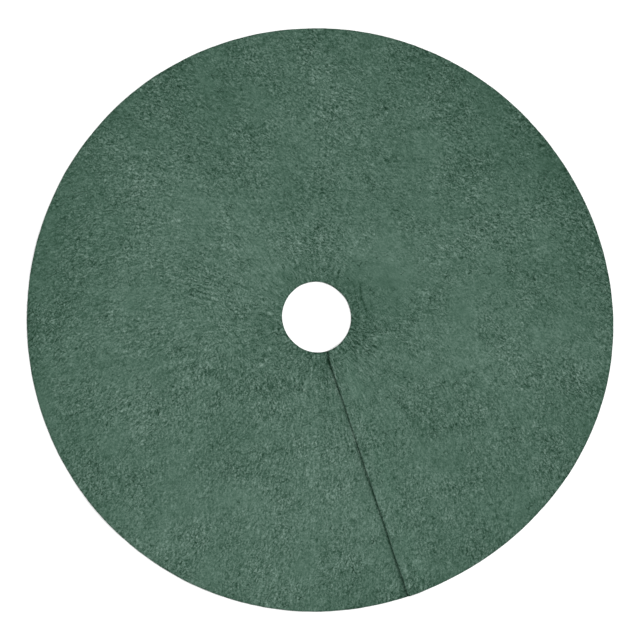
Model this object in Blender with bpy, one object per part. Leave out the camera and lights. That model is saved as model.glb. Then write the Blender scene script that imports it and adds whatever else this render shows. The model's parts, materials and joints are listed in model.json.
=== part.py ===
"""A round felt tree skirt with a trunk hole and one slit from the hole to the rim.

Metres, +Z up. The origin is the centre of the outer circle on the floor. The slit runs from
the hole towards -Y, and the felt on its right (+X) lies on top of the felt on its left, held
by three bonded pairs of hook and loop strips. The felt beside the slit folds back as two
flaps, which opens a way for the trunk. Both flaps belong to the one felt sheet: they are
objects of their own only because they move.
"""

import math

import bmesh
import bpy

# Felt sheet
SKIRT_RADIUS = 0.610
FELT_THICKNESS = 0.003

# Trunk hole, cut a little off centre
HOLE_RADIUS = 0.0725
HOLE_X = -0.002
HOLE_Y = 0.008

# Slit: its visible edge lies at SLIT_X, and the left side runs OVERLAP_WIDTH under the right
SLIT_X = -0.005
OVERLAP_WIDTH = 0.017
RAMP_LENGTH = 0.028
RAMP_CLEARANCE = 0.004

# Fold lines. The right one meets the hole FOLD_INSET inside its side. The left one lies where
# the left flap, turning FLAP_TURN_RATIO times as far as the right one, stays clear of it.
FOLD_INSET = 0.012
FLAP_TURN_RATIO = 0.9

# Hook and loop strips, their corners rounded, bonded to the felt
HOOK_THICKNESS = 0.0009
LOOP_THICKNESS = 0.0009
STRIP_LENGTH = 0.050
STRIP_INSET = 0.001
STRIP_CORNER_RADIUS = 0.003
STRIP_FROM_HOLE = 0.012
STRIP_FROM_RIM = 0.018

# Gap between pieces that touch
GAP = 0.0003

# Fineness of the facets
ARC_STEP = math.radians(2.5)
STATION_STEP = 0.006
RAMP_STATIONS = 8
CORNER_SEGMENTS = 4

# Colours: base colour, roughness
FELT_COLOUR = (0.080, 0.145, 0.108, 1.0)
HOOK_COLOUR = (0.030, 0.045, 0.036, 1.0)
LOOP_COLOUR = (0.036, 0.052, 0.042, 1.0)
FELT_ROUGHNESS = 0.95
HOOK_ROUGHNESS = 0.55
LOOP_ROUGHNESS = 0.85

# Sizes that follow from the ones above
RIGHT_FOLD_X = HOLE_X + HOLE_RADIUS - FOLD_INSET
RIGHT_FLAP_WIDTH = RIGHT_FOLD_X - SLIT_X
LEFT_FLAP_WIDTH = (RIGHT_FLAP_WIDTH - OVERLAP_WIDTH) / FLAP_TURN_RATIO - OVERLAP_WIDTH
LEFT_FOLD_X = SLIT_X - LEFT_FLAP_WIDTH
STRIP_WIDTH = OVERLAP_WIDTH - 2 * STRIP_INSET
LOOP_BOTTOM = FELT_THICKNESS + GAP
HOOK_BOTTOM = LOOP_BOTTOM + LOOP_THICKNESS + GAP
OVERLAP_BOTTOM = HOOK_BOTTOM + HOOK_THICKNESS + GAP


def clear_scene():
    """Remove every object that the file already holds."""
    for item in list(bpy.data.objects):
        bpy.data.objects.remove(item, do_unlink=True)


def make_material(name, colour, roughness):
    material = bpy.data.materials.new(name)
    material.use_nodes = True
    shader = material.node_tree.nodes["Principled BSDF"]
    shader.inputs["Base Color"].default_value = colour
    shader.inputs["Roughness"].default_value = roughness
    shader.inputs["Metallic"].default_value = 0.0
    return material


def add_object(name, mesh, origin, material):
    """Turn a bmesh built in world coordinates into an object whose origin is given."""
    bmesh.ops.translate(mesh, verts=mesh.verts, vec=[-c for c in origin])
    bmesh.ops.recalc_face_normals(mesh, faces=mesh.faces)
    data = bpy.data.meshes.new(name)
    mesh.to_mesh(data)
    mesh.free()
    data.materials.append(material)
    item = bpy.data.objects.new(name, data)
    item.location = origin
    bpy.context.scene.collection.objects.link(item)
    return item


def hole_edge(x):
    """Y of the lower edge of the trunk hole at a given X."""
    return HOLE_Y - math.sqrt(HOLE_RADIUS**2 - (x - HOLE_X) ** 2)


def rim_edge(x):
    """Y of the lower part of the rim at a given X."""
    return -math.sqrt(SKIRT_RADIUS**2 - x**2)


def arc(centre_x, centre_y, radius, start, end):
    """Points along an arc, both ends included, in steps of at most ARC_STEP."""
    steps = max(2, math.ceil(abs(end - start) / ARC_STEP))
    angles = [start + (end - start) * i / steps for i in range(steps + 1)]
    return [(centre_x + radius * math.cos(a), centre_y + radius * math.sin(a)) for a in angles]


def extruded_outline(outline, bottom, thickness):
    """A closed flat solid over an outline, from bottom upwards."""
    mesh = bmesh.new()
    face = mesh.faces.new([mesh.verts.new((x, y, bottom)) for x, y in outline])
    raised = bmesh.ops.extrude_face_region(mesh, geom=[face])["geom"]
    top = [v for v in raised if isinstance(v, bmesh.types.BMVert)]
    bmesh.ops.translate(mesh, verts=top, vec=(0.0, 0.0, thickness))
    return mesh


def lofted_flap(stations):
    """A felt flap between the hole and the rim, from (x, height of its underside) stations."""
    mesh = bmesh.new()
    rings = []
    for x, bottom in stations:
        top = bottom + FELT_THICKNESS
        corners = (
            (x, rim_edge(x), bottom),
            (x, hole_edge(x), bottom),
            (x, hole_edge(x), top),
            (x, rim_edge(x), top),
        )
        rings.append([mesh.verts.new(corner) for corner in corners])
    for ring, following in zip(rings, rings[1:]):
        for i in range(4):
            j = (i + 1) % 4
            mesh.faces.new((ring[i], ring[j], following[j], following[i]))
    mesh.faces.new(rings[0])
    mesh.faces.new(reversed(rings[-1]))
    return mesh


def spaced(start, end):
    """Evenly spaced values from start to end, at most STATION_STEP apart."""
    steps = max(1, math.ceil(abs(end - start) / STATION_STEP))
    return [start + (end - start) * i / steps for i in range(steps + 1)]


def make_felt_panel(material):
    """The sheet itself: a disc with its hole, open between the two fold lines."""
    right = RIGHT_FOLD_X + GAP / 2
    left = LEFT_FOLD_X - GAP / 2
    rim_start = math.atan2(rim_edge(right), right)
    rim_end = math.atan2(rim_edge(left), left) + 2 * math.pi
    hole_start = math.atan2(hole_edge(left) - HOLE_Y, left - HOLE_X) + 2 * math.pi
    hole_end = math.atan2(hole_edge(right) - HOLE_Y, right - HOLE_X)
    outline = arc(0.0, 0.0, SKIRT_RADIUS, rim_start, rim_end)
    outline += arc(HOLE_X, HOLE_Y, HOLE_RADIUS, hole_start, hole_end)
    mesh = extruded_outline(outline, 0.0, FELT_THICKNESS)
    return add_object("felt_panel", mesh, (0.0, 0.0, 0.0), material)


def make_overlap_flap(material):
    """The right side of the slit: flat at its fold, then up a soft ramp onto the left side."""
    ramp_top = SLIT_X + OVERLAP_WIDTH + RAMP_CLEARANCE
    stations = [(x, OVERLAP_BOTTOM) for x in spaced(SLIT_X, ramp_top)]
    for i in range(1, RAMP_STATIONS + 1):
        t = i / RAMP_STATIONS
        drop = t * t * (3 - 2 * t)
        stations.append((ramp_top + RAMP_LENGTH * t, OVERLAP_BOTTOM * (1 - drop)))
    ramp_foot = ramp_top + RAMP_LENGTH
    stations += [(x, 0.0) for x in spaced(ramp_foot, RIGHT_FOLD_X - GAP / 2)[1:]]
    mesh = lofted_flap(stations)
    origin = (RIGHT_FOLD_X, 0.0, FELT_THICKNESS)
    return add_object("overlap_flap", mesh, origin, material)


def make_underlap_flap(material):
    """The left side of the slit, flat on the floor and reaching under the right side."""
    ends = (LEFT_FOLD_X + GAP / 2, SLIT_X + OVERLAP_WIDTH)
    mesh = lofted_flap([(x, 0.0) for x in spaced(*ends)])
    origin = (LEFT_FOLD_X, 0.0, FELT_THICKNESS)
    return add_object("underlap_flap", mesh, origin, material)


def make_strip(name, centre_y, bottom, thickness, material):
    """One hook or loop strip, its long side along the slit."""
    centre_x = SLIT_X + OVERLAP_WIDTH / 2
    half_width = STRIP_WIDTH / 2 - STRIP_CORNER_RADIUS
    half_length = STRIP_LENGTH / 2 - STRIP_CORNER_RADIUS
    outline = []
    for corner, (side_x, side_y) in enumerate(((1, 1), (-1, 1), (-1, -1), (1, -1))):
        corner_x = centre_x + side_x * half_width
        corner_y = centre_y + side_y * half_length
        for i in range(CORNER_SEGMENTS + 1):
            angle = math.pi / 2 * (corner + i / CORNER_SEGMENTS)
            x = corner_x + STRIP_CORNER_RADIUS * math.cos(angle)
            y = corner_y + STRIP_CORNER_RADIUS * math.sin(angle)
            outline.append((x, y))
    mesh = extruded_outline(outline, bottom, thickness)
    return add_object(name, mesh, (centre_x, centre_y, bottom), material)


def strip_places():
    """Centre of each pair of strips along the slit, from the hole to the rim."""
    strip_side = SLIT_X + STRIP_INSET
    inner = hole_edge(strip_side) - STRIP_FROM_HOLE - STRIP_LENGTH / 2
    outer = rim_edge(strip_side) + STRIP_FROM_RIM + STRIP_LENGTH / 2
    return {"inner": inner, "middle": (inner + outer) / 2, "outer": outer}


def hang_on_fold(name, fold_x, pieces):
    """Parent pieces to an empty on their fold line, at the felt's upper face."""
    fold = bpy.data.objects.new(name, None)
    fold.location = (fold_x, 0.0, FELT_THICKNESS)
    bpy.context.scene.collection.objects.link(fold)
    for piece in pieces:
        piece.parent = fold
        piece.location = [a - b for a, b in zip(piece.location, fold.location)]


def build():
    clear_scene()
    felt = make_material("felt", FELT_COLOUR, FELT_ROUGHNESS)
    hook = make_material("hook_tape", HOOK_COLOUR, HOOK_ROUGHNESS)
    loop = make_material("loop_tape", LOOP_COLOUR, LOOP_ROUGHNESS)

    make_felt_panel(felt)
    right_pieces = [make_overlap_flap(felt)]
    left_pieces = [make_underlap_flap(felt)]
    for place, y in strip_places().items():
        right_pieces.append(make_strip(f"hook_strip_{place}", y, HOOK_BOTTOM, HOOK_THICKNESS, hook))
        left_pieces.append(make_strip(f"loop_strip_{place}", y, LOOP_BOTTOM, LOOP_THICKNESS, loop))
    hang_on_fold("right_fold", RIGHT_FOLD_X, right_pieces)
    hang_on_fold("left_fold", LEFT_FOLD_X, left_pieces)


build()
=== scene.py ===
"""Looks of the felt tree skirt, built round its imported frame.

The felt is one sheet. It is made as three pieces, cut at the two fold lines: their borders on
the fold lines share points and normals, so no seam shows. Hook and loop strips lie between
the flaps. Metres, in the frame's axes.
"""

import json
import math

import bpy
import numpy as np
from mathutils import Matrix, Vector
from mathutils.geometry import delaunay_2d_cdt
from mathutils.kdtree import KDTree


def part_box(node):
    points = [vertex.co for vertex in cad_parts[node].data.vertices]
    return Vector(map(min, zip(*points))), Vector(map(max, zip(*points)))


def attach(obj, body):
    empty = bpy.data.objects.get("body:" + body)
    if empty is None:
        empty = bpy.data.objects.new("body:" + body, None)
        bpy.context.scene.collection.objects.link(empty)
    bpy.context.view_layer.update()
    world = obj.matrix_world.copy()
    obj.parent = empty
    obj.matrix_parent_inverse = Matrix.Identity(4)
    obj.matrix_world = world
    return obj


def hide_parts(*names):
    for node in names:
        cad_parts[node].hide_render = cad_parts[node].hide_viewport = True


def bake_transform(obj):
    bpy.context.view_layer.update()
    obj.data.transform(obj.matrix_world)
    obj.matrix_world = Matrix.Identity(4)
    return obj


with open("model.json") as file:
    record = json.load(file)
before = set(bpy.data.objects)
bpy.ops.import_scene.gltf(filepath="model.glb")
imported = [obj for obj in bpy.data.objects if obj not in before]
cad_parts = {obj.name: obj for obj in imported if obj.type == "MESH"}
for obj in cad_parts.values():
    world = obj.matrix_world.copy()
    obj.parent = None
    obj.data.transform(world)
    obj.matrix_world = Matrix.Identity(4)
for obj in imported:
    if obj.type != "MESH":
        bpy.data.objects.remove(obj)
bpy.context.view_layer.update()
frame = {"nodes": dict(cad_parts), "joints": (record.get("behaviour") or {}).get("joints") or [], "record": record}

# ---------------------------------------------------------------- sizes from the frame
JOINTS = {joint["name"]: joint for joint in frame["joints"]}
PANEL_LOW, PANEL_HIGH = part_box("felt_panel")
OVERLAP_LOW, OVERLAP_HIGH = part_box("overlap_flap")
UNDERLAP_LOW, UNDERLAP_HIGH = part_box("underlap_flap")
THICKNESS = PANEL_HIGH[2] - PANEL_LOW[2]
SKIRT_RADIUS = (PANEL_HIGH[0] - PANEL_LOW[0]) / 2
RIGHT_FOLD_X = JOINTS["right_fold"]["pos_m"][0]
LEFT_FOLD_X = JOINTS["left_fold"]["pos_m"][0]
SLIT_X = OVERLAP_LOW[0]
UNDERLAP_TIP_X = UNDERLAP_HIGH[0]
OVERLAP_LIFT = OVERLAP_HIGH[2] - THICKNESS
STRIP_PLACES = ("inner", "middle", "outer")
LOOP_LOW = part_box("loop_strip_inner")[0]
HOOK_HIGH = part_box("hook_strip_inner")[1]

TRUNK_BOX = np.array(frame["record"]["physics"]["openings"][0]["box_m"])
HOLE_CENTRE = TRUNK_BOX.mean(axis=0)[:2]
PANEL_POINTS = np.array([v.co[:2] for v in frame["nodes"]["felt_panel"].data.vertices])
HOLE_RADIUS = np.hypot(*(PANEL_POINTS - HOLE_CENTRE).T).min()

# ---------------------------------------------------------------- the cut of the felt
# Noise layers, here and below, are (weight, size, seed).

# Slow waves of the hand-cut rim and hole: how many round the circle, their reach, and where
RIM_WAVES = ((2, 0.0021, -78), (3, 0.0031, -76), (4, 0.0010, -144), (5, 0.0007, -150))
HOLE_WAVES = ((1, 0.0007, -62), (2, 0.0014, -167), (4, 0.0004, -46))
CUT_WOBBLE = 0.0005
RIM_LAYERS = ((1.0, 0.055, 11), (0.5, 0.012, 12))
HOLE_LAYERS = ((1.0, 0.030, 13),)
SLIT_WOBBLE = 0.0007
SLIT_LAYERS = ((1.0, 0.060, 14), (0.4, 0.014, 15))

# The slit leans to the right just below the hole; at the rim its corners are cut aslant
SLIT_LEAN = 0.0032
SLIT_LEAN_LENGTH = 0.030
CORNER_CUT = 0.007
CORNER_SLANT = 0.35
CORNER_CURVE = 1.6

# The cut edge, from the upper face down: (distance inside the outline, share of the thickness)
EDGE_PROFILE = ((0.0013, 0.97), (0.0005, 0.80), (0.0000, 0.42), (0.0006, 0.06))
OUTERMOST_RING = 2
# Darker cut edge, partly the felt's cut fibres and partly painted shade: the band's reach, and how much darker the
# band and the wall get
CUT_REACH = (0.0012, 0.0060)
CUT_FIBRES_AND_PAINTED_SHADE = 0.085
WALL_FIBRES_AND_PAINTED_SHADE = 0.12
SLIT_EDGE_BAND = 0.0015

# ---------------------------------------------------------------- the mesh of the felt
TOP_SPACING = 0.0040
UNDERSIDE_SPACING = 0.018
FLAP_SPACING = 0.0030
EDGE_SPACING = 0.0032
BORDER_MARGIN = 0.62
COARSEST_MARGIN = 1.6 * EDGE_SPACING
GRID_SHAKE = 0.22
PANEL_SEED, RIGHT_FLAP_SEED, LEFT_FLAP_SEED = 61, 63, 65
BISECTIONS = 50
SAME_PLACE_DIGITS = 7
JOIN_DISTANCE = 1e-7
POINTS_AT_ONCE = 4096

# The bend beside each fold line, whose points are closer
BEND_LENGTH = 0.014
BEND_SPACING = 0.0016
BEND_CROWDING = 1.5
BEND_SEED_SHIFT = 20
BEND_STEPS = 200
FLAP_FOLDS = {"overlap": RIGHT_FOLD_X, "underlap": LEFT_FOLD_X}

# ---------------------------------------------------------------- how the felt lies
# The fibres' lay makes half a turn round a centre; near the hole it is pulled to one direction
LAY_CENTRE = (-0.22, 0.02)
LAY_ANGLE = math.radians(112)
LAY_SWINGS = ((2, math.radians(11)), (3, math.radians(6)))
LAY_NEAR_HOLE = math.radians(-4)
LAY_PULL = 0.92
LAY_PULL_REACH = 0.16

# Low waves of the sheet and the curl of its rim, both gone where the flaps lie flat
WAVE_HEIGHT = 0.0030
WAVE_LAYERS = ((0.7, 0.23, 21), (0.35, 0.11, 22))
WAVE_BASE = 0.05
CURL_BAND = (0.50, 0.61)
CURL_BASE = 0.4
CURL_LAYERS = ((0.6, 0.17, 23),)
CURL_SHARE = 0.6
FREE_BESIDE_FLAPS = (0.075, 0.19)
FREE_ABOVE_FLAPS = (-0.02, 0.07)

# Nubs of the upper face, drawn out along the lay
NUB_HEIGHT = 0.00035
NUB_BEND = 0.003
NUB_BEND_SIZE = 0.014
NUB_BEND_SEEDS = (41, 42)
NUB_LUMPS = ((0.45, 0.022, 43),)
NUB_LAYERS = ((0.5, 0.0090, 44),)
NUB_STEPS = (-0.0035, 0.0, 0.0035)
NUB_SLOPE_STEP = 0.0012

# The overlap rides up on the underlap and its strips, and down again towards its fold
RAMP_START = UNDERLAP_TIP_X + 0.003
RAMP_END = SLIT_X + 0.049
REST_GAP = 0.0009
HOLD_MARGIN = 0.004
HOLD_REACH = 0.07
HELD_BAND = 0.01
HELD_FACE_RELIEF = 0.12
HELD_FACE_SHIFT = 0.3
STRIP_SEAT = 0.00003
SEAT_EDGE = (-0.0005, 0.0025)

# The line where the overlap's edge presses into the underlap: its dent, and painted shade along it
SLIT_DENT = 0.0007
SLIT_LINE_WIDTH = 0.0024
SLIT_LINE_SHIFT = 0.0008
# Painted shade under the overlap's edge; the mask weakens midway down the slit
SLIT_PAINTED_SHADE = 0.34
SLIT_WEAKEST = 0.36
SLIT_WEAK_REACH = 0.2
SLIT_WEAKENING = 0.55
PRESSED_BAND = 0.004
PRESSED_SHARE = 0.6

# Soft creases pressed into the felt when it was folded: from x, y to x, y, and how deep
CREASES = (
    (0.108, 0.068, 0.097, -0.029, 0.0009),
    (0.093, 0.050, 0.086, -0.012, 0.0006),
    (0.122, 0.040, 0.110, -0.036, 0.0006),
    (0.098, -0.034, 0.113, -0.072, 0.0009),
    (0.128, -0.030, 0.141, -0.086, 0.0006),
    (0.080, -0.052, 0.094, -0.096, 0.0006),
    (0.044, 0.122, 0.046, 0.088, 0.0007),
    (0.224, -0.485, 0.221, -0.552, 0.0009),
    (-0.268, 0.300, -0.250, 0.272, 0.0009),
    (-0.062, -0.258, -0.048, -0.320, 0.0005),
    (0.145, -0.205, 0.244, -0.221, 0.0006),
    (0.164, -0.236, 0.217, -0.229, 0.0006),
    (-0.210, -0.170, -0.177, -0.160, 0.0005),
    (-0.177, -0.160, -0.107, -0.152, 0.0004),
)
CREASE_WIDTH = 0.0016
CREASE_BAND = 0.0045
CREASE_SPACING = 0.0015
# Painted shade in the creases, for each metre of their depth
CREASE_PAINTED_SHADE = 250.0
CREASE_FADE_IN = (-0.02, 0.2)
CREASE_FADE_OUT = (0.8, 1.02)
CREASE_ENDS = (-0.05, 1.05)
CREASE_WANDER = ((0.0030, 0.030, 51),)
CREASE_BREAK_BASE = 0.7
CREASE_BREAKS = ((0.5, 0.016, 52),)
CREASE_SHAKE = 0.3

# ---------------------------------------------------------------- tones of the felt
# Spots, here, are (weight, x, y, reach).
PILE_BASE = 0.97
PILE_LAYERS = ((0.50, 0.11, 31), (0.30, 0.045, 32))
PILE_SPOTS = ((0.30, -0.09, -0.10, 0.17), (-0.26, 0.20, 0.02, 0.16), (-0.2, 0.09, -0.33, 0.09))
PILE_RANGE = (0.3, 1.8)
MOTTLE_LAYERS = ((0.050, 0.19, 33), (0.040, 0.075, 34), (0.055, 0.34, 35))
TONE_SPOTS = (
    (-0.060, 0.135, -0.020, 0.075),
    (-0.030, -0.120, 0.360, 0.260),
    (-0.070, 0.132, -0.167, 0.014),
    (-0.050, -0.024, -0.106, 0.022),
)
# Bands darker towards the rim: (weight, radius where it starts, radius where it is full)
RIM_TONES = ((-0.075, 0.40, 0.64), (-0.028, 0.57, 0.60))
HOLE_TONE = -0.085
HOLE_TONE_REACH = 0.070
# Painted light: the felt paler towards the lower left, darker along the direction below
PAINTED_LIGHT_SLOPE = -0.035
PAINTED_LIGHT_DIRECTION = (0.6, 0.8)

# The felt's sRGB colour: green at mid level and its spread; red and blue as steps from green,
# each (step at mid level, its change over the whole spread)
FELT_GREEN = 108.7
FELT_SPREAD = 110
FELT_RED = (-29.7, 7)
FELT_BLUE = (-14.9, 4)
ILLUMINATION = 1.45
FELT_STEPS = 6

# Fine fibres and pits in the felt's material
FIBRE_BEND = 0.008
FIBRE_DIRECTIONS = (12.0, 74.0, 133.0)
FIBRE_STRETCH = 9.0
FIBRE_SCALE = 2400.0
FIBRE_EXCESS = 0.077
PIT_SCALE = 52.0
PIT_LINE = (0.006, 0.020)
PIT_SHIFT = (3.7, 1.9, 0.0)
PIT_PATCH_SCALE = 34.0
PIT_KEPT = (0.60, 0.66)
# Painted shade in the pits, which the bump also sinks
PIT_PAINTED_SHADE = 0.26
PIT_DEPTH = 0.3

# ---------------------------------------------------------------- hook and loop strips
TAPE_SHARE = 0.45
TAPE_CORNER = 0.003
TAPE_CORNERS = 48
TAPE_SOFT = 0.00012
TAPE_LAYERS = (0.3, 0.7)
SELVAGE = 0.0011
PILE_SHAKE = 0.15
PILE_SIZES = (0.82, 1.0)

WIRE_RADIUS = 0.00008
HOOK_BEND = 0.00013
HOOK_ARC = (180, 140, 95, 50, 5, -30)
HOOK_PITCH = 0.00125
HOOK_SPIN = 0.25
HOOK_SEED = 71
HOOK_DARK = (0.004, 0.014, 0.009)
HOOK_LIGHT = (0.018, 0.045, 0.031)

LOOP_RADIUS = 0.00005
LOOP_SPAN = 0.0009
LOOP_ARC = (180, 150, 115, 65, 30, 0)
LOOP_PITCH = 0.00105
LOOP_SPIN = 1.57
LOOP_SEED = 81
LOOP_DARK = (0.006, 0.018, 0.012)
LOOP_LIGHT = (0.026, 0.056, 0.040)

# ---------------------------------------------------------------- the studio
FLOOR_SIZE = 14.0
FLOOR_DROP = 0.0004
FLOOR_WHITES = (0.94, 0.96)
KEY_STRENGTH = 2.05
KEY_SOFTNESS = math.radians(60)
KEY_TILT = tuple(math.radians(angle) for angle in (8, 46, 20))
CAMERA_LENS = 85.0
CAMERA_REACH = 50.0
CAMERA_TURN = math.radians(-18.5)
CAMERA_SHIFT = (0.0032, 0.0004)
FRAME_WIDTH = 1.3363

RANDOM_SIZE = 256
RANDOM_TABLES = {}


def noise(x, y, size, seed):
    """Smooth gradient noise from about -1 to 1, whose features are about size across."""
    if seed not in RANDOM_TABLES:
        table = np.random.default_rng(seed).uniform(0, 2 * np.pi, (RANDOM_SIZE, RANDOM_SIZE))
        RANDOM_TABLES[seed] = table
    angles = RANDOM_TABLES[seed]
    u, v = np.asarray(x) / size, np.asarray(y) / size
    i, j = np.floor(u).astype(int), np.floor(v).astype(int)
    fu, fv = u - i, v - j
    su = fu * fu * fu * (fu * (6 * fu - 15) + 10)
    sv = fv * fv * fv * (fv * (6 * fv - 15) + 10)

    def corner(di, dj):
        angle = angles[(i + di) % RANDOM_SIZE, (j + dj) % RANDOM_SIZE]
        return np.cos(angle) * (fu - di) + np.sin(angle) * (fv - dj)

    low = corner(0, 0) * (1 - su) + corner(1, 0) * su
    high = corner(0, 1) * (1 - su) + corner(1, 1) * su
    return 1.5 * (low * (1 - sv) + high * sv)


def layered(x, y, layers):
    """Sum of noises, given as (weight, size, seed)."""
    return sum(weight * noise(x, y, size, seed) for weight, size, seed in layers)


def spotted(x, y, spots):
    """Sum of spots, given as (weight, x, y, reach)."""
    return sum(weight * spot(x, y, at_x, at_y, reach) for weight, at_x, at_y, reach in spots)


def smoothstep(low, high, value):
    t = np.clip((np.asarray(value) - low) / (high - low), 0, 1)
    return t * t * (3 - 2 * t)


def wave_sum(waves, angle):
    return sum(reach * np.cos(count * angle - math.radians(at)) for count, reach, at in waves)


def rim_radius(angle, inset):
    """Radius of the hand-cut rim, taken in by inset."""
    wobble = CUT_WOBBLE * layered(SKIRT_RADIUS * np.asarray(angle), 0.0, RIM_LAYERS)
    return SKIRT_RADIUS + wave_sum(RIM_WAVES, angle) + wobble - inset


def hole_radius(angle, inset):
    """Radius of the hand-cut hole about its own centre; the felt starts inset outside it."""
    wobble = CUT_WOBBLE * layered(HOLE_RADIUS * np.asarray(angle), 0.0, HOLE_LAYERS)
    return HOLE_RADIUS + wave_sum(HOLE_WAVES, angle) + wobble + inset


def rim_point(angle, inset):
    radius = rim_radius(angle, inset)
    return np.array([radius * np.cos(angle), radius * np.sin(angle)]).T


def hole_point(angle, inset):
    radius = hole_radius(angle, inset)
    return HOLE_CENTRE + np.array([radius * np.cos(angle), radius * np.sin(angle)]).T


def crossing(curve, x, inset):
    """Angle at which the lower half of the rim or the hole crosses a line of constant X."""
    low, high = -math.pi, 0.0
    for _ in range(BISECTIONS):
        middle = (low + high) / 2
        if curve(middle, inset)[0] < x:
            low = middle
        else:
            high = middle
    return (low + high) / 2


def fold_line(x, inset):
    """Points down a fold line, from the hole's edge to the rim's edge."""
    top = hole_point(crossing(hole_point, x, inset), inset)[1]
    bottom = rim_point(crossing(rim_point, x, inset), inset)[1]
    count = round((SKIRT_RADIUS - HOLE_RADIUS) / EDGE_SPACING)
    return np.array([[x, y] for y in np.linspace(top, bottom, count)])


def panel_outline(inset):
    """The panel's border at one inset: rim, left fold, hole, right fold. Same count always."""
    turn = 2 * math.pi
    rim_start = crossing(rim_point, RIGHT_FOLD_X, inset)
    rim_end = crossing(rim_point, LEFT_FOLD_X, inset) + turn
    hole_start = crossing(hole_point, LEFT_FOLD_X, inset) + turn
    hole_end = crossing(hole_point, RIGHT_FOLD_X, inset)
    rim_count = round(turn * SKIRT_RADIUS / EDGE_SPACING)
    hole_count = round(turn * HOLE_RADIUS / EDGE_SPACING)
    rim = rim_point(np.linspace(rim_start, rim_end, rim_count), inset)
    hole = hole_point(np.linspace(hole_start, hole_end, hole_count), inset)
    left = fold_line(LEFT_FOLD_X, inset)[::-1]
    right = fold_line(RIGHT_FOLD_X, inset)
    return np.vstack([rim[:-1], left[:-1], hole[:-1], right[:-1]])


def slit_edge(x, y):
    """X of a cut edge of the slit, which wanders a little."""
    return x + SLIT_WOBBLE * layered(y, x, SLIT_LAYERS)


def slit_lean(y):
    """How far the slit leans to the right as it comes to the hole."""
    below_hole = HOLE_CENTRE[1] - HOLE_RADIUS - y
    return SLIT_LEAN * (1 - smoothstep(0.0, SLIT_LEAN_LENGTH, below_hole))


def flap_outline(fold_x, free_x, inset):
    """A flap's border at one inset: rim from the fold to the slit, slit, hole, fold."""
    side = 1 if free_x > fold_x else -1
    edge_x = free_x - side * inset
    lean = SLIT_LEAN if free_x == SLIT_X else 0.0
    corner_x = edge_x - side * CORNER_SLANT * CORNER_CUT
    rim_turn = crossing(rim_point, fold_x, inset), crossing(rim_point, corner_x, inset)
    hole_turn = crossing(hole_point, edge_x + lean, inset), crossing(hole_point, fold_x, inset)
    across = round(abs(free_x - fold_x) / BEND_SPACING)
    share = np.linspace(0, 1, across) ** BEND_CROWDING
    rim = rim_point(rim_turn[0] + (rim_turn[1] - rim_turn[0]) * share, inset)
    hole = hole_point(hole_turn[1] + (hole_turn[0] - hole_turn[1]) * share[::-1], inset)
    slit = slit_line(edge_x, rim[-1][1], hole[0][1], side, lean)
    rim[-1] = slit[0]
    hole[0] = slit[-1]
    fold = fold_line(fold_x, inset)
    outline = np.vstack([rim[:-1], slit[:-1], hole[:-1], fold[:-1]])
    return outline if side > 0 else outline[::-1]


def slit_line(edge_x, start_y, end_y, side, lean):
    """Points up a cut edge of the slit, from the rim's slanting corner to the hole."""
    count = round((SKIRT_RADIUS - HOLE_RADIUS) / EDGE_SPACING)
    y = np.linspace(start_y, end_y, count)
    x = slit_edge(edge_x, y)
    corner = CORNER_CUT * np.clip(1 - (y - y[0]) / CORNER_CUT, 0, 1) ** CORNER_CURVE
    x = x - side * CORNER_SLANT * corner
    if lean:
        x = x + slit_lean(y)
    return np.array([x, y]).T


def still(x, y):
    """1 over the felt that lies free, 0 where the flaps and their folds have to lie flat."""
    beside = smoothstep(*FREE_BESIDE_FLAPS, np.abs(x - (RIGHT_FOLD_X + LEFT_FOLD_X) / 2))
    above = smoothstep(*FREE_ABOVE_FLAPS, y)
    return np.maximum(beside, above)


def lie(x, y):
    """Height of the felt's underside above the floor: low, slow waves of a sheet laid by hand."""
    waves = layered(x, y, WAVE_LAYERS)
    curl = smoothstep(*CURL_BAND, np.hypot(x, y)) * (CURL_BASE + layered(x, y, CURL_LAYERS))
    lifted = np.clip(waves + WAVE_BASE, 0, None) + CURL_SHARE * np.clip(curl, 0, None)
    return WAVE_HEIGHT * lifted * still(x, y)


def lay_of(x, y):
    """Direction that the fibres lie in: half a turn round LAY_CENTRE, nearly even at the hole."""
    turn = np.arctan2(y - LAY_CENTRE[1], x - LAY_CENTRE[0])
    swing = turn / 2 + sum(reach * np.cos(count * turn) for count, reach in LAY_SWINGS)
    pull = LAY_PULL * spot(x, y, *HOLE_CENTRE, LAY_PULL_REACH)
    cosine = (1 - pull) * np.cos(2 * swing) + pull * math.cos(2 * LAY_NEAR_HOLE)
    sine = (1 - pull) * np.sin(2 * swing) + pull * math.sin(2 * LAY_NEAR_HOLE)
    angle = LAY_ANGLE + np.arctan2(sine, cosine) / 2
    return np.cos(angle), np.sin(angle)


def spot(x, y, at_x, at_y, reach):
    """1 at a place, falling off smoothly over the reach."""
    return np.exp(-((x - at_x) ** 2 + (y - at_y) ** 2) / reach**2)


def pile_of(x, y):
    """How strongly the nubs stand up, 1 on average: some patches are rubbed smoother."""
    pile = PILE_BASE + layered(x, y, PILE_LAYERS) + spotted(x, y, PILE_SPOTS)
    return np.clip(pile, *PILE_RANGE)


def tone_of(x, y):
    """Slow changes of colour: darker towards the rim and the hole, painted light that is paler at the lower left,
    and painted shade in the creases.
    """
    radius = np.hypot(x, y)
    from_hole = np.hypot(x - HOLE_CENTRE[0], y - HOLE_CENTRE[1]) - HOLE_RADIUS
    tone = sum(weight * smoothstep(start, full, radius) for weight, start, full in RIM_TONES)
    tone = tone + HOLE_TONE * (1 - smoothstep(0.0, HOLE_TONE_REACH, from_hole))
    # Painted light, paler at the lower left
    tone = tone + PAINTED_LIGHT_SLOPE * (x * PAINTED_LIGHT_DIRECTION[0] + y * PAINTED_LIGHT_DIRECTION[1]) / SKIRT_RADIUS
    tone = tone + layered(x, y, MOTTLE_LAYERS) + spotted(x, y, TONE_SPOTS)
    # Painted shade in the pressed creases
    return tone - CREASE_PAINTED_SHADE * creases(x, y)


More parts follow.
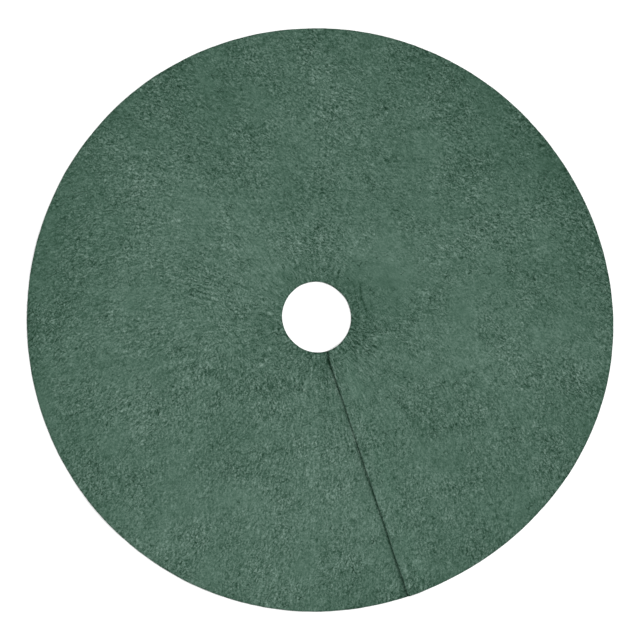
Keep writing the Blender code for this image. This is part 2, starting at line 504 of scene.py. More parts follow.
def nubs(x, y):
    """Relief of the upper face: short worm-like nubs drawn out along the lay of the fibres."""
    lay_x, lay_y = lay_of(x, y)
    bent_x = x + NUB_BEND * noise(x, y, NUB_BEND_SIZE, NUB_BEND_SEEDS[0])
    bent_y = y + NUB_BEND * noise(x, y, NUB_BEND_SIZE, NUB_BEND_SEEDS[1])
    total = layered(x, y, NUB_LUMPS)
    for step in NUB_STEPS:
        total = total + layered(bent_x + step * lay_x, bent_y + step * lay_y, NUB_LAYERS)
    return total


def along_crease(x, y, crease):
    """(share of the length, distance to the side) of points against one slightly bent crease."""
    x0, y0, x1, y1, _ = crease
    dx, dy = x1 - x0, y1 - y0
    length = math.hypot(dx, dy)
    along = ((x - x0) * dx + (y - y0) * dy) / length**2
    across = ((x - x0) * dy - (y - y0) * dx) / length
    return along, across + layered(x, y, CREASE_WANDER)


def creases(x, y):
    """Depth of the pressed creases, as a height to take away."""
    depth = np.zeros(np.shape(x))
    broken = CREASE_BREAK_BASE + layered(x, y, CREASE_BREAKS)
    for crease in CREASES:
        along, across = along_crease(x, y, crease)
        fade = smoothstep(*CREASE_FADE_IN, along) * (1 - smoothstep(*CREASE_FADE_OUT, along))
        depth += crease[-1] * fade * broken * np.exp(-((across / CREASE_WIDTH) ** 2))
    return depth


def in_band(points, crease):
    """Which points lie in the narrow band of one crease."""
    along, across = along_crease(points[:, 0], points[:, 1], crease)
    low, high = CREASE_ENDS
    return (along > low) & (along < high) & (np.abs(across) < CREASE_BAND)


def beside_crease(points):
    """Which points lie in the narrow band of some crease."""
    near = np.zeros(len(points), bool)
    for crease in CREASES:
        near |= in_band(points, crease)
    return near


def strip_hold(y):
    """1 along the stretches that a pair of strips holds together, 0 midway between them."""
    hold = np.zeros_like(y)
    for place in STRIP_PLACES:
        low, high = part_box(f"hook_strip_{place}")
        rise = smoothstep(low[1] - HOLD_REACH, low[1] - HOLD_MARGIN, y)
        fall = smoothstep(high[1] + HOLD_MARGIN, high[1] + HOLD_REACH, y)
        hold = np.maximum(hold, rise * (1 - fall))
    return hold


def under_strip(x, y, kind):
    """1 where a strip is fixed to the felt, falling to 0 just outside it."""
    seat = np.zeros(np.shape(x))
    for place in STRIP_PLACES:
        low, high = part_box(f"{kind}_strip_{place}")
        out_x = np.maximum(low[0] - x, x - high[0])
        out_y = np.maximum(low[1] - y, y - high[1])
        seat = np.maximum(seat, 1 - smoothstep(*SEAT_EDGE, np.maximum(out_x, out_y)))
    return seat


def overlap_raise(x, y):
    """How far the overlap flap rides up over the underlap: most where strips hold it up."""
    over = 1 - smoothstep(RAMP_START, RAMP_END, x)
    resting = THICKNESS + REST_GAP
    return over * (OVERLAP_LIFT - (OVERLAP_LIFT - resting) * (1 - strip_hold(y)))


def slit_shade(x, y):
    """Mask along the line where the overlap's edge presses into the underlap: the depth of its dent, and painted
    shade in the underlap's colour.
    """
    share = (HOLE_CENTRE[1] - HOLE_RADIUS - y) / (SKIRT_RADIUS - HOLE_RADIUS)
    weak = SLIT_WEAKENING * np.exp(-(((share - SLIT_WEAKEST) / SLIT_WEAK_REACH) ** 2))
    line_x = SLIT_X - SLIT_LINE_SHIFT + slit_lean(y)
    return (1 - weak) * np.exp(-(((x - line_x) / SLIT_LINE_WIDTH) ** 2))


def felt_faces(x, y, flap):
    """Heights of the upper face and the underside of the felt over points of its cut."""
    x, y = np.asarray(x, float), np.asarray(y, float)
    under = lie(x, y)
    if flap == "overlap":
        under = under + overlap_raise(x, y)
    relief = NUB_HEIGHT * pile_of(x, y) * nubs(x, y)
    if flap == "underlap":
        relief = relief * (1 - PRESSED_SHARE * smoothstep(SLIT_X - PRESSED_BAND, SLIT_X, x))
    upper = under + THICKNESS + relief - creases(x, y)
    lower = under
    if flap == "underlap":
        upper = upper - SLIT_DENT * slit_shade(x, y)
        seat = under_strip(x, y, "loop")
        upper = upper * (1 - seat) + (LOOP_LOW[2] + STRIP_SEAT) * seat
    if flap == "overlap":
        held = 1 - smoothstep(UNDERLAP_TIP_X, UNDERLAP_TIP_X + HELD_BAND, x)
        free = HELD_FACE_RELIEF * (1 - held * strip_hold(y))
        lower = under + free * NUB_HEIGHT * nubs(x + HELD_FACE_SHIFT, y)
        seat = under_strip(x, y, "hook")
        lower = lower * (1 - seat) + (HOOK_HIGH[2] - STRIP_SEAT) * seat
    return upper, lower


def inner_points(outline, spacing, margin, seed):
    """Points of a slightly shaken triangular grid inside an outline, kept off its border."""
    low, high = outline.min(axis=0), outline.max(axis=0)
    row = spacing * math.sqrt(3) / 2
    xs, ys = np.meshgrid(np.arange(low[0], high[0], spacing), np.arange(low[1], high[1], row))
    xs = xs + (np.arange(len(xs)) % 2)[:, None] * spacing / 2
    points = np.array([xs.ravel(), ys.ravel()]).T
    shake = np.random.default_rng(seed).uniform(-GRID_SHAKE, GRID_SHAKE, points.shape)
    points = points + spacing * shake
    return points[inside(outline, points, margin)]


def crease_points(crease, seed):
    """Closely set points over the band of one crease."""
    x0, y0, x1, y1, _ = crease
    low = np.array([min(x0, x1), min(y0, y1)]) - CREASE_BAND
    high = np.array([max(x0, x1), max(y0, y1)]) + CREASE_BAND
    xs, ys = np.meshgrid(*(np.arange(low[i], high[i], CREASE_SPACING) for i in (0, 1)))
    points = np.array([xs.ravel(), ys.ravel()]).T
    shake = np.random.default_rng(seed).uniform(-CREASE_SHAKE, CREASE_SHAKE, points.shape)
    points = points + CREASE_SPACING * shake
    return points[in_band(points, crease)]


def inside(outline, points, margin):
    """Which points lie inside the outline and at least margin from it."""
    kept = np.zeros(len(points), bool)
    start, end = outline, np.roll(outline, -1, axis=0)
    for block in range(0, len(points), POINTS_AT_ONCE):
        p = points[block:block + POINTS_AT_ONCE]
        x, y = p[:, :1], p[:, 1:]
        spans = (start[:, 1] > y) != (end[:, 1] > y)
        with np.errstate(divide="ignore", invalid="ignore"):
            slope = (end[:, 0] - start[:, 0]) / (end[:, 1] - start[:, 1])
        right_of = x < start[:, 0] + (y - start[:, 1]) * slope
        within = (spans & right_of).sum(axis=1) % 2 == 1
        gap = np.hypot(x - start[:, 0], y - start[:, 1]).min(axis=1)
        kept[block:block + POINTS_AT_ONCE] = within & (gap > margin)
    return kept


def triangulated(outline, spacing, seed, creased=False, fold_x=None):
    """(points, triangles) over an outline: its own points first, in order, then inner ones."""
    margin = BORDER_MARGIN * min(spacing, COARSEST_MARGIN)
    inner = inner_points(outline, spacing, margin, seed)
    if fold_x is not None:
        close = BORDER_MARGIN * BEND_SPACING
        bent = inner_points(outline, BEND_SPACING, close, seed + BEND_SEED_SHIFT)
        bent = bent[np.abs(bent[:, 0] - fold_x) < BEND_LENGTH]
        inner = np.vstack([inner[np.abs(inner[:, 0] - fold_x) >= BEND_LENGTH], bent])
    if creased:
        dense = [crease_points(crease, seed) for crease in CREASES]
        inner = np.vstack([inner[~beside_crease(inner)]] + dense)
    points = np.vstack([outline, inner])
    border = [list(range(len(outline)))]
    result = delaunay_2d_cdt([Vector(p) for p in points], [], border, 1, JOIN_DISTANCE)
    triangles = [tuple(result[3][corner][0] for corner in face) for face in result[2]]
    return points, np.array(triangles)


def face_block(plan, flap, count, share, underside):
    """Points of the upper face or the underside, whose border lies at a share of the wall."""
    upper, lower = felt_faces(plan[:, 0], plan[:, 1], flap)
    height = (lower if underside else upper).copy()
    height[:count] = lower[:count] + (upper[:count] - lower[:count]) * share
    return np.column_stack([plan, height])


def wall_faces(starts, count):
    """Triangles of the cut edge, ring by ring, between the upper face and the underside."""
    faces = []
    here = np.arange(count)
    there = (here + 1) % count
    for upper_start, lower_start in zip(starts[:-2], starts[1:-1]):
        a, b = upper_start + here, upper_start + there
        c, d = lower_start + there, lower_start + here
        faces += [np.column_stack([b, a, d]), np.column_stack([b, d, c])]
    return faces


def felt_piece(name, outline_at, spacing, underside_spacing, flap, seed):
    """A closed piece of felt: upper face, rounded cut edge or straight fold border, underside."""
    rings = [outline_at(inset) for inset, _ in EDGE_PROFILE]
    count = len(rings[0])
    fold_x = FLAP_FOLDS.get(flap)
    top, top_triangles = triangulated(rings[0], spacing, seed, flap == "panel", fold_x)
    low, low_triangles = triangulated(rings[-1], underside_spacing, seed + 1, False, fold_x)

    blocks = [face_block(top, flap, count, EDGE_PROFILE[0][1], False)]
    for ring, (_, share) in zip(rings[1:-1], EDGE_PROFILE[1:-1]):
        blocks.append(face_block(ring, flap, count, share, False))
    blocks.append(face_block(low, flap, count, EDGE_PROFILE[-1][1], True))

    fold_places = np.round([RIGHT_FOLD_X, LEFT_FOLD_X], SAME_PLACE_DIGITS)
    on_fold = np.isin(np.round(rings[0][:, 0], SAME_PLACE_DIGITS), fold_places)
    upper, lower = felt_faces(rings[0][:, 0], rings[0][:, 1], flap)
    blocks[0][:count, 2][on_fold] = upper[on_fold]
    blocks[-1][:count, 2][on_fold] = lower[on_fold]

    starts = np.cumsum([0] + [len(block) for block in blocks])
    faces = [top_triangles, low_triangles[:, ::-1] + starts[-2]] + wall_faces(starts, count)
    points, triangles = np.vstack(blocks), np.vstack(faces)

    mesh = bpy.data.meshes.new(name)
    mesh.from_pydata(points.tolist(), [], triangles.tolist())
    cloth = points.copy()
    if fold_x is not None:
        cloth[starts[-2]:, 0] = unstretched(points[starts[-2]:, 0], fold_x)
    add_vectors(mesh, "cloth", cloth)
    lay_x, lay_y = lay_of(points[:, 0], points[:, 1])
    add_vectors(mesh, "lay", np.column_stack([lay_x, lay_y, np.zeros(len(points))]))
    add_values(mesh, "tone", piece_tone(points, rings[OUTERMOST_RING], starts, on_fold, flap))
    add_values(mesh, "pile", pile_of(points[:, 0], points[:, 1]))
    mesh.shade_smooth()
    set_normals(mesh, points, triangles, starts[-2], flap, on_fold)
    return linked(name, mesh)


def piece_tone(points, edge, starts, on_fold, flap):
    """Tone at each point of a piece of felt: darker at the cut edge, partly for its cut fibres and partly as
    painted shade, and with painted shade under the slit's edge.
    """
    x, y = points[:, 0], points[:, 1]
    darkened = ~on_fold
    if flap == "overlap":
        darkened &= edge[:, 0] > SLIT_X + SLIT_LEAN + SLIT_EDGE_BAND
    near_cut = 1 - smoothstep(*CUT_REACH, distance_from(edge[darkened], points))
    wall = np.zeros(len(points))
    for start in starts[1:-1]:
        wall[start:start + len(edge)][~on_fold] = 1
    # Cut edge darker, partly its cut fibres and partly painted shade
    tone = tone_of(x, y) - CUT_FIBRES_AND_PAINTED_SHADE * near_cut - WALL_FIBRES_AND_PAINTED_SHADE * wall
    if flap == "underlap":
        # Painted shade along the line under the overlap's edge
        tone -= SLIT_PAINTED_SHADE * slit_shade(x, y)
    return tone


def linked(name, data):
    item = bpy.data.objects.new(name, data)
    bpy.context.scene.collection.objects.link(item)
    return item


def unstretched(x, fold_x):
    """X at which the underside takes its felt grain, so that it isn't drawn out when folded.

    The bend stretches the underside; its grain goes by the length along the open fold.
    """
    joint = JOINTS["right_fold" if fold_x == RIGHT_FOLD_X else "left_fold"]
    turn = math.radians(max(abs(limit) for limit in joint["range_deg"]))
    far = np.linspace(0, BEND_LENGTH, BEND_STEPS)
    share = far / BEND_LENGTH
    bending = turn * 6 * share * (1 - share) / BEND_LENGTH
    stretch = np.hypot(1 + bending * THICKNESS, bending * far)
    length = np.concatenate([[0], np.cumsum((stretch[1:] + stretch[:-1]) / 2 * np.diff(far))])
    away = np.abs(x - fold_x)
    beyond = away + length[-1] - BEND_LENGTH
    along = np.where(away < BEND_LENGTH, np.interp(away, far, length), beyond)
    return fold_x + np.sign(x - fold_x) * along


def add_vectors(mesh, name, vectors):
    attribute = mesh.attributes.new(name, "FLOAT_VECTOR", "POINT")
    attribute.data.foreach_set("vector", np.asarray(vectors, np.float32).ravel())


def add_values(mesh, name, values):
    attribute = mesh.attributes.new(name, "FLOAT", "POINT")
    attribute.data.foreach_set("value", np.asarray(values, np.float32))


def distance_from(border, points):
    """Distance in plan of each point from the nearest of the border's points."""
    tree = KDTree(len(border))
    for i, (x, y) in enumerate(border):
        tree.insert((x, y, 0.0), i)
    tree.balance()
    return np.array([tree.find((x, y, 0.0))[2] for x, y, _ in points])


def set_normals(mesh, points, triangles, low_start, flap, on_fold):
    """Give the fold borders the normals of the whole sheet, so that pieces meet unseen."""
    step = NUB_SLOPE_STEP
    normals = np.zeros((len(points), 3))
    edge_a = points[triangles[:, 1]] - points[triangles[:, 0]]
    edge_b = points[triangles[:, 2]] - points[triangles[:, 0]]
    face_normal = np.cross(edge_a, edge_b)
    for corner in range(3):
        np.add.at(normals, triangles[:, corner], face_normal)
    border = np.flatnonzero(on_fold)
    for start, face, sign in ((0, 0, 1.0), (low_start, 1, -1.0)):
        x, y = points[start + border, 0], points[start + border, 1]
        slope_x = felt_faces(x + step, y, flap)[face] - felt_faces(x - step, y, flap)[face]
        slope_y = felt_faces(x, y + step, flap)[face] - felt_faces(x, y - step, flap)[face]
        normal = np.column_stack([-slope_x, -slope_y, np.full(len(x), 2 * step)])
        normals[start + border] = sign * normal
    length = np.linalg.norm(normals, axis=1, keepdims=True)
    normals /= np.where(length > 0, length, 1)
    mesh.normals_split_custom_set_from_vertices(normals.tolist())


# ---------------------------------------------------------------- materials


def add_node(tree, kind, **settings):
    node = tree.nodes.new(kind)
    for key, value in settings.items():
        setattr(node, key, value)
    return node


def set_inputs(node, **values):
    for key, value in values.items():
        node.inputs[key.replace("_", " ")].default_value = value
    return node


def math_node(tree, operation, a, b=None, clamp=False):
    node = add_node(tree, "ShaderNodeMath", operation=operation, use_clamp=clamp)
    for socket, value in zip(node.inputs, (a, b)):
        if value is None:
            continue
        if isinstance(value, (int, float)):
            socket.default_value = value
        else:
            tree.links.new(value, socket)
    return node.outputs[0]


def noise_node(tree, vector, scale, detail=2.0, rough=0.55):
    node = add_node(tree, "ShaderNodeTexNoise", noise_dimensions="3D")
    set_inputs(node, Scale=scale, Detail=detail, Roughness=rough)
    tree.links.new(vector, node.inputs["Vector"])
    return node.outputs["Fac"]


def moved(tree, vector, shift):
    node = add_node(tree, "ShaderNodeMapping", vector_type="POINT")
    set_inputs(node, Location=shift)
    tree.links.new(vector, node.inputs["Vector"])
    return node.outputs[0]


def remap(tree, value, from_range, to_range, smooth=False):
    node = add_node(tree, "ShaderNodeMapRange", clamp=True)
    node.interpolation_type = "SMOOTHSTEP" if smooth else "LINEAR"
    for socket, number in zip(node.inputs[1:5], (*from_range, *to_range)):
        socket.default_value = number
    tree.links.new(value, node.inputs[0])
    return node.outputs[0]


def weighted(tree, *terms):
    """Sum of weight times (value - 0.5) over the terms, plus 0.5."""
    total = 0.5 - 0.5 * sum(weight for weight, _ in terms)
    for weight, value in terms:
        node = add_node(tree, "ShaderNodeMath", operation="MULTIPLY_ADD")
        tree.links.new(value, node.inputs[0])
        node.inputs[1].default_value = weight
        if isinstance(total, (int, float)):
            node.inputs[2].default_value = total
        else:
            tree.links.new(total, node.inputs[2])
        total = node.outputs[0]
    return total


def ramp(tree, value, stops):
    node = add_node(tree, "ShaderNodeValToRGB")
    elements = node.color_ramp.elements
    while len(elements) < len(stops):
        elements.new(0.5)
    for element, (position, colour) in zip(elements, stops):
        element.position = position
        element.color = (*colour, 1.0)
    tree.links.new(value, node.inputs[0])
    return node.outputs[0]


def new_material(name):
    material = bpy.data.materials.new(name)
    material.use_nodes = True
    tree = material.node_tree
    return material, tree, tree.nodes["Principled BSDF"]


def felt_colour(level):
    """Linear colour for a level from 0 to 1: the channels shift by nearly the same sRGB step."""
    green = FELT_GREEN + (level - 0.5) * FELT_SPREAD
    offsets = [base + tilt * (level - 0.5) for base, tilt in (FELT_RED, (0, 0), FELT_BLUE)]
    srgb = [(green + offset) / 255 for offset in offsets]
    linear = [((c + 0.055) / 1.055) ** 2.4 if c > 0.04045 else c / 12.92 for c in srgb]
    return tuple(c / ILLUMINATION for c in linear)


def attribute(tree, name, output="Fac"):
    return add_node(tree, "ShaderNodeAttribute", attribute_name=name).outputs[output]


def shifted(tree, place, direction, distance):
    """The place moved along a direction."""
    node = add_node(tree, "ShaderNodeVectorMath", operation="MULTIPLY_ADD")
    tree.links.new(direction, node.inputs[0])
    node.inputs[1].default_value = (distance, distance, distance)
    tree.links.new(place, node.inputs[2])
    return node.outputs[0]


def drawn_noise(tree, place, lay, scale, reach, detail=2.0, rough=0.6):
    """Noise drawn out along the lay: the mean of three samples, so that it has short streaks."""
    total = 0.0
    for step in (-reach, 0.0, reach):
        sample = noise_node(tree, shifted(tree, place, lay, step), scale, detail, rough)
        total = math_node(tree, "ADD", sample, total)
    return math_node(tree, "DIVIDE", total, 3.0)


def centred(tree, *terms):
    """Sum of weight times (value - 0.5) over the terms."""
    total = None
    for weight, value in terms:
        node = add_node(tree, "ShaderNodeMath", operation="MULTIPLY_ADD")
        tree.links.new(value, node.inputs[0])
        node.inputs[1].default_value = weight
        shift = math_node(tree, "SUBTRACT", total if total is not None else 0.0, weight / 2)
        tree.links.new(shift, node.inputs[2])
        total = node.outputs[0]
    return total


def drawn_at(tree, vector, degrees, stretch):
    """Coordinates in which a noise comes out drawn along a fixed direction."""
    node = add_node(tree, "ShaderNodeMapping", vector_type="TEXTURE")
    set_inputs(node, Rotation=(0.0, 0.0, math.radians(degrees)), Scale=(stretch, 1.0, 1.0))
    tree.links.new(vector, node.inputs["Vector"])
    return node.outputs[0]


def matted_fibres(tree, place):
    """Fine fibres that cross one another in three directions, the topmost showing.

    The mean of the topmost of three is above a single noise's mean by FIBRE_EXCESS.
    """
    total = 0.0
    for degrees in FIBRE_DIRECTIONS:
        drawn = drawn_at(tree, place, degrees, FIBRE_STRETCH)
        strand = noise_node(tree, drawn, FIBRE_SCALE, detail=1.0, rough=0.5)
        total = math_node(tree, "MAXIMUM", strand, total)
    return math_node(tree, "SUBTRACT", total, FIBRE_EXCESS)


def crooked_pits(tree, place):
    """Sparse short crooked grooves: pieces of the lines where one noise crosses its middle."""
    line = noise_node(tree, place, PIT_SCALE, detail=1.0, rough=0.5)
    line = math_node(tree, "ABSOLUTE", math_node(tree, "SUBTRACT", line, 0.5))
    line = remap(tree, line, PIT_LINE, (1.0, 0.0), smooth=True)
    kept = noise_node(tree, moved(tree, place, PIT_SHIFT), PIT_PATCH_SCALE, detail=1.0, rough=0.5)
    kept = remap(tree, kept, PIT_KEPT, (0.0, 1.0), smooth=True)
    return math_node(tree, "MULTIPLY", line, kept)


def bump_normal(tree, shader, height, strength, distance):
    bump = set_inputs(add_node(tree, "ShaderNodeBump"), Strength=strength, Distance=distance)
    tree.links.new(height, bump.inputs["Height"])
    tree.links.new(bump.outputs[0], shader.inputs["Normal"])


def felt_material():
    """Needle-punched felt: matted nubs and streaks along the lay, pits and stray fibres."""
    material, tree, shader = new_material("needle_felt")
    cloth = attribute(tree, "cloth", "Vector")
    lay = attribute(tree, "lay", "Vector")
    tone = attribute(tree, "tone")
    pile = attribute(tree, "pile")

    bend = add_node(tree, "ShaderNodeTexNoise", noise_dimensions="3D")
    set_inputs(bend, Scale=110.0, Detail=1.0)
    tree.links.new(cloth, bend.inputs["Vector"])
    warped = shifted(tree, cloth, bend.outputs["Color"], FIBRE_BEND)

    streaks = drawn_noise(tree, warped, lay, scale=265.0, reach=0.0020, detail=1.5, rough=0.55)
    grain = noise_node(tree, warped, scale=275.0, detail=2.0, rough=0.6)
    nub = drawn_noise(tree, warped, lay, scale=120.0, reach=0.0030, detail=1.0, rough=0.5)
    clump = noise_node(tree, cloth, scale=46.0, detail=1.0, rough=0.5)
    fibres = matted_fibres(tree, warped)
    pits = crooked_pits(tree, warped)

    fine = centred(tree, (1.30, streaks), (0.99, grain), (0.45, nub), (0.98, fibres))
    fine = math_node(tree, "MULTIPLY", fine, pile)
    level = centred(tree, (0.22, clump))
    level = math_node(tree, "ADD", level, fine)
    level = math_node(tree, "ADD", level, tone)
    # Painted shade in the pits
    level = math_node(tree, "SUBTRACT", level, math_node(tree, "MULTIPLY", pits, PIT_PAINTED_SHADE))
    level = math_node(tree, "ADD", level, 0.5, clamp=True)
    shares = [step / FELT_STEPS for step in range(FELT_STEPS + 1)]
    stops = [(share, felt_colour(share)) for share in shares]
    tree.links.new(ramp(tree, level, stops), shader.inputs["Base Color"])

    relief = centred(tree, (1.3, streaks), (0.9, grain), (0.9, nub), (0.30, fibres))
    relief = math_node(tree, "MULTIPLY", relief, pile)
    relief = math_node(tree, "SUBTRACT", relief, math_node(tree, "MULTIPLY", pits, PIT_DEPTH))
    bump_normal(tree, shader, relief, strength=1.0, distance=0.0020)
    rough = remap(tree, fine, (-0.3, 0.3), (0.97, 0.84))
    tree.links.new(rough, shader.inputs["Roughness"])
    set_inputs(shader, Sheen_Weight=0.12, Sheen_Roughness=0.45, Specular_IOR_Level=0.15)
    shader.inputs["Sheen Tint"].default_value = (0.55, 0.72, 0.62, 1.0)
    return material


def woven_bands(tree, place, direction):
    node = add_node(tree, "ShaderNodeTexWave", wave_type="BANDS", bands_direction=direction)
    set_inputs(node, Scale=260.0, Distortion=1.2, Detail=1.0)
    tree.links.new(place, node.inputs["Vector"])
    return node.outputs["Fac"]


def tape_material(name, dark, light, roughness, sheen):
    """Woven nylon backing of the strips, with a fine rib and a little dust."""
    material, tree, shader = new_material(name)
    place = add_node(tree, "ShaderNodeTexCoord").outputs["Object"]
    dust = noise_node(tree, place, scale=420.0, detail=3.0, rough=0.6)
    bands = [woven_bands(tree, place, direction) for direction in ("Y", "X")]
    woven = math_node(tree, "MAXIMUM", *bands)
    value = weighted(tree, (0.5, woven), (0.8, dust))
    tree.links.new(ramp(tree, value, ((0.15, dark), (0.85, light))), shader.inputs["Base Color"])
    bump_normal(tree, shader, value, strength=0.6, distance=0.0003)
    rough = remap(tree, dust, (0.2, 0.8), (roughness + 0.08, roughness - 0.08))
    tree.links.new(rough, shader.inputs["Roughness"])
    set_inputs(shader, Sheen_Weight=sheen, Sheen_Roughness=0.4, Specular_IOR_Level=0.2)
    return material


def floor_material():
    material, tree, shader = new_material("white_floor")
    place = add_node(tree, "ShaderNodeTexCoord").outputs["Object"]
    cloud = noise_node(tree, place, scale=2.0, detail=2.0)
    stops = [(share, (white, white, white)) for share, white in zip((0.0, 1.0), FLOOR_WHITES)]
    tree.links.new(ramp(tree, cloud, stops), shader.inputs["Base Color"])
    set_inputs(shader, Roughness=0.9)
    return material


# ---------------------------------------------------------------- pieces


def make_felt():
    """The three pieces of the felt sheet, laid on the floor."""
    felt = felt_material()
    panel = felt_piece(
        "skirt_felt", panel_outline, TOP_SPACING, UNDERSIDE_SPACING, "panel", PANEL_SEED,
    )
    right = felt_piece(
        "right_flap_felt",
        lambda inset: flap_outline(RIGHT_FOLD_X, SLIT_X, inset),
        FLAP_SPACING, FLAP_SPACING, "overlap", RIGHT_FLAP_SEED,
    )
    left = felt_piece(
        "left_flap_felt",
        lambda inset: flap_outline(LEFT_FOLD_X, UNDERLAP_TIP_X, inset),
        FLAP_SPACING, FLAP_SPACING, "underlap", LEFT_FLAP_SEED,
    )
    for piece in (panel, right, left):
        piece.data.materials.append(felt)
    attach(panel, "panel")
    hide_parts("felt_panel")
    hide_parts("overlap_flap")
    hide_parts("underlap_flap")
    blend_flap(right)
    blend_flap(left)


def tube(path, radius):
    """Points and faces of a square-sectioned wire along a path in the XZ plane."""
    path = np.asarray(path, float)
    ahead = np.gradient(path, axis=0)
    ahead /= np.linalg.norm(ahead, axis=1, keepdims=True)
    side = np.column_stack([-ahead[:, 1], ahead[:, 0]])
    points = []
    for (x, z), (sx, sz) in zip(path, side):
        points += [
            (x + radius * sx, 0.0, z + radius * sz),
            (x, radius, z),
            (x - radius * sx, 0.0, z - radius * sz),
            (x, -radius, z),
        ]
    last = 4 * (len(path) - 1)
    faces = [(3, 2, 1, 0), (last, last + 1, last + 2, last + 3)]
    for start in range(0, last, 4):
        for i in range(4):
            j = (i + 1) % 4
            faces.append((start + i, start + j, start + 4 + j, start + 4 + i))
    return np.array(points), np.array(faces)


def hook_template(height):
    """A wire stem that bends over at its top and points down again."""
    stem = height - HOOK_BEND - WIRE_RADIUS
    bend = [math.radians(angle) for angle in HOOK_ARC]
    arc = [(HOOK_BEND * (1 + math.cos(a)), stem + HOOK_BEND * math.sin(a)) for a in bend]
    return tube([(0.0, -WIRE_RADIUS)] + arc, WIRE_RADIUS)


def loop_template(height):
    """An open arch of wire with both feet in the backing."""
    turn = [math.radians(angle) for angle in LOOP_ARC]
    rise = height - LOOP_RADIUS
    return tube([(LOOP_SPAN / 2 * math.cos(a), rise * math.sin(a)) for a in turn], LOOP_RADIUS)


def pile_field(template, low, high, pitch, seed, spin):
    """Copies of a template in staggered rows over a strip, each turned and sized a little."""
    points, faces = template
    rng = np.random.default_rng(seed)
    xs = np.arange(low[0] + SELVAGE, high[0] - SELVAGE, pitch)
    ys = np.arange(low[1] + SELVAGE, high[1] - SELVAGE, pitch)
    grid_x, grid_y = np.meshgrid(xs, ys)
    grid_x = grid_x + (np.arange(len(ys)) % 2)[:, None] * pitch / 2
    places = np.array([grid_x.ravel(), grid_y.ravel()]).T
    places = places + rng.uniform(-PILE_SHAKE, PILE_SHAKE, places.shape) * pitch
    turn = rng.uniform(-spin, spin, len(places)) + math.pi * rng.integers(0, 2, len(places))
    size = rng.uniform(*PILE_SIZES, len(places))
    c, s = np.cos(turn)[:, None], np.sin(turn)[:, None]
    x = (points[:, 0] * c - points[:, 1] * s) * size[:, None] + places[:, :1]
    y = (points[:, 0] * s + points[:, 1] * c) * size[:, None] + places[:, 1:]
    z = points[:, 2] * size[:, None]
    shifts = np.arange(len(places))[:, None, None] * len(points)
    return np.stack([x, y, z], axis=-1).reshape(-1, 3), (faces + shifts).reshape(-1, 4)


def tape_slab(low, high, thickness):
    """Points and faces of the strip's backing: a plate with rounded corners and soft edges."""
    middle = [(0.0, share) for share in TAPE_LAYERS]
    rings = [(TAPE_SOFT, 0.0)] + middle + [(TAPE_SOFT, 1.0)]
    points, faces = [], []
    for inset, share in rings:
        reach = TAPE_CORNER - inset
        for i in range(TAPE_CORNERS):
            angle = 2 * math.pi * i / TAPE_CORNERS
            cosine, sine = math.cos(angle), math.sin(angle)
            x = high[0] - TAPE_CORNER if cosine > 0 else low[0] + TAPE_CORNER
            y = high[1] - TAPE_CORNER if sine > 0 else low[1] + TAPE_CORNER
            points.append((x + reach * cosine, y + reach * sine, share * thickness))
    n = TAPE_CORNERS
    for ring in range(len(rings) - 1):
        for i in range(n):
            j = (i + 1) % n
            faces.append((ring * n + i, ring * n + j, (ring + 1) * n + j, (ring + 1) * n + i))
    faces.append(tuple(reversed(range(n))))
    faces.append(tuple(range((len(rings) - 1) * n, len(rings) * n)))
    return points, faces


def strip_piece(kind, place, template_of, pitch, spin, seed):
    """A hook or loop strip in the space of its CAD node: woven backing with its pile."""
    name = f"{kind}_tape_{place}"
    low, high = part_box(f"{kind}_strip_{place}")
    height = high[2] - low[2]
    backing = TAPE_SHARE * height
    points, faces = tape_slab(low, high, backing)
    template = template_of(height - backing)
    pile_points, pile_faces = pile_field(template, low, high, pitch, seed, spin)
    pile_points[:, 2] += backing
    first = len(points)
    points = np.vstack([points, pile_points])
    faces = faces + [tuple(face) for face in (pile_faces + first).tolist()]
    if kind == "hook":
        points[:, 2] = high[2] - points[:, 2]
        faces = [tuple(reversed(face)) for face in faces]
    else:
        points[:, 2] += low[2]
    mesh = bpy.data.meshes.new(name)
    mesh.from_pydata(points.tolist(), [], faces)
    return linked(name, mesh)


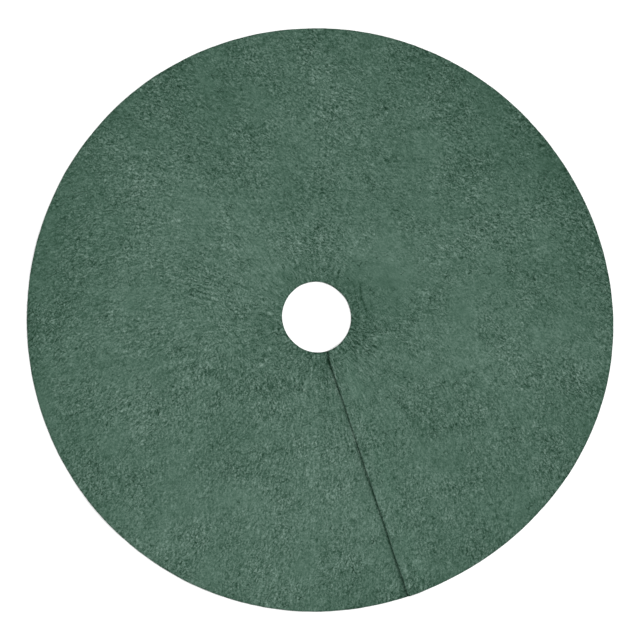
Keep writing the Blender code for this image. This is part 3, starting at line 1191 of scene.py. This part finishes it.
def make_strips():
    """Three hook strips under the overlap flap and three loop strips on the underlap flap."""
    hooks = tape_material("hook_nylon", HOOK_DARK, HOOK_LIGHT, roughness=0.45, sheen=0.0)
    loops = tape_material("loop_nylon", LOOP_DARK, LOOP_LIGHT, roughness=0.75, sheen=0.10)
    for i, place in enumerate(STRIP_PLACES):
        hook = strip_piece("hook", place, hook_template, HOOK_PITCH, HOOK_SPIN, HOOK_SEED + i)
        declare_strip(hook, hooks, "right_flap", f"hook_strip_{place}")
        loop = strip_piece("loop", place, loop_template, LOOP_PITCH, LOOP_SPIN, LOOP_SEED + i)
        declare_strip(loop, loops, "left_flap", f"loop_strip_{place}")


def declare_strip(piece, material, body, node):
    piece.data.materials.append(material)
    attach(piece, body)
    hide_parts(node)


def blend_flap(piece):
    """The flap's placement, baked into its mesh."""
    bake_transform(piece)


def make_floor():
    bpy.ops.mesh.primitive_plane_add(size=FLOOR_SIZE)
    floor = bpy.context.object
    floor.name = "studio_floor"
    floor.location = (0.0, 0.0, -FLOOR_DROP)
    floor.data.materials.append(floor_material())


def make_lights():
    """White light from all round, and a broad soft one from the right."""
    world = bpy.data.worlds.new("studio")
    bpy.context.scene.world = world
    world.use_nodes = True
    background = world.node_tree.nodes["Background"]
    background.inputs["Color"].default_value = (1.0, 1.0, 1.0, 1.0)
    background.inputs["Strength"].default_value = 1.0
    key = bpy.data.lights.new("key", "SUN")
    key.energy = KEY_STRENGTH
    key.angle = KEY_SOFTNESS
    linked("key", key).rotation_euler = KEY_TILT


def make_camera():
    """A camera straight above, turned as the skirt lies in the photograph."""
    camera = bpy.data.cameras.new("camera")
    camera.lens = CAMERA_LENS
    camera.clip_end = CAMERA_REACH
    item = linked("camera", camera)
    height = FRAME_WIDTH * camera.lens / camera.sensor_width
    right = Vector((math.cos(CAMERA_TURN), math.sin(CAMERA_TURN), 0.0))
    up = Vector((-math.sin(CAMERA_TURN), math.cos(CAMERA_TURN), 0.0))
    item.location = Vector((0.0, 0.0, height)) + CAMERA_SHIFT[0] * right + CAMERA_SHIFT[1] * up
    item.rotation_euler = (0.0, 0.0, CAMERA_TURN)
    bpy.context.scene.camera = item
    bpy.context.scene.view_settings.view_transform = "Standard"
    bpy.context.scene.view_settings.look = "None"


make_floor()
make_lights()
make_camera()
make_felt()
make_strips()
